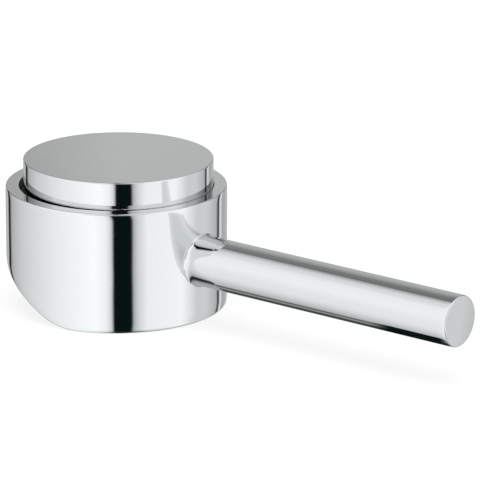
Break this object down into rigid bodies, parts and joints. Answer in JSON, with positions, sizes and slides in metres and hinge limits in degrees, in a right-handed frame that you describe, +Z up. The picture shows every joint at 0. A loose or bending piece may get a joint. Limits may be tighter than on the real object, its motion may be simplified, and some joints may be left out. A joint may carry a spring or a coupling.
{
  "type": "tap handle",
  "caption": "Single-lever tap handle: a chrome cup with a proud top cap, a slanted relief at the back of its skirt and a plain round lever, fixed to a square cartridge stem.",
  "frame": {"origin": "centre of the stem socket's mouth, on the tap's axis", "axes": "+X along the lever away from the cup, +Z up the tap's axis towards the cap"},
  "size_m": [0.1098, 0.046, 0.0309],
  "materials": {
    "body_chrome": "polished",
    "cap_chrome": "polished",
    "seal_rubber": "satin",
    "insert_plastic": "satin",
    "screw_steel": "satin"
  },
  "bodies": {
    "root": {"handle_body": "body_chrome", "cover_cap": "cap_chrome", "cap_seal_ring": "seal_rubber", "stem_insert": "insert_plastic", "fixing_screw": "screw_steel"}
  },
  "joints": []
}
